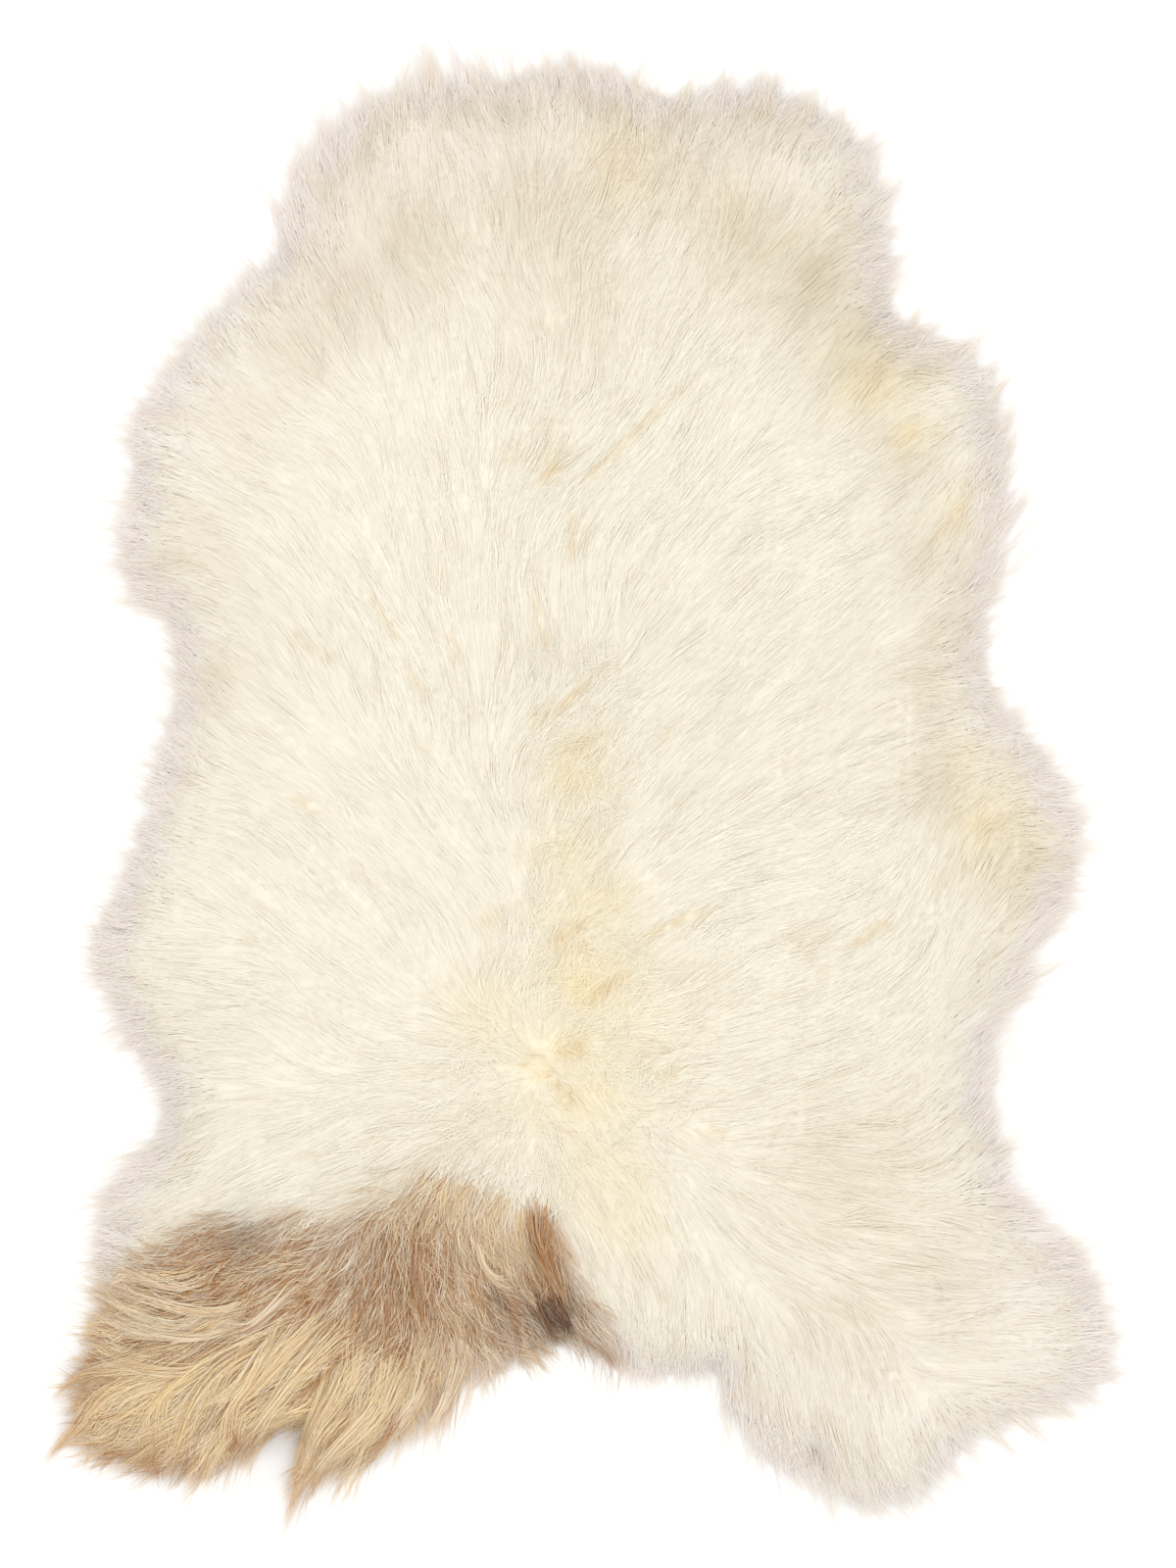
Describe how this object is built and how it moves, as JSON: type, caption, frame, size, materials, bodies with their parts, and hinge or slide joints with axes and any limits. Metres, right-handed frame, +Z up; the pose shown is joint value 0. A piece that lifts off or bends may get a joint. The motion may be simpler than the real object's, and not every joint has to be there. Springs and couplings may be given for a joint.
{
  "type": "sheepskin rug",
  "caption": "Long-wool sheepskin rug of natural outline, cream with a brown hind leg, lying flat on the floor.",
  "frame": {"origin": "on the floor, under the middle of the rug's bounding box", "axes": "+Y towards the neck, +X towards the hind leg with no brown wool, +Z up out of the wool"},
  "size_m": [0.7916, 1.0948, 0.059],
  "materials": {
    "long_wool": "long lustrous wool, cream, with a golden-brown patch over one hind leg",
    "suede_hide": "undyed tanned skin, sueded, matt"
  },
  "bodies": {
    "root": {"fleece": "long_wool", "hide": "suede_hide"}
  },
  "joints": []
}
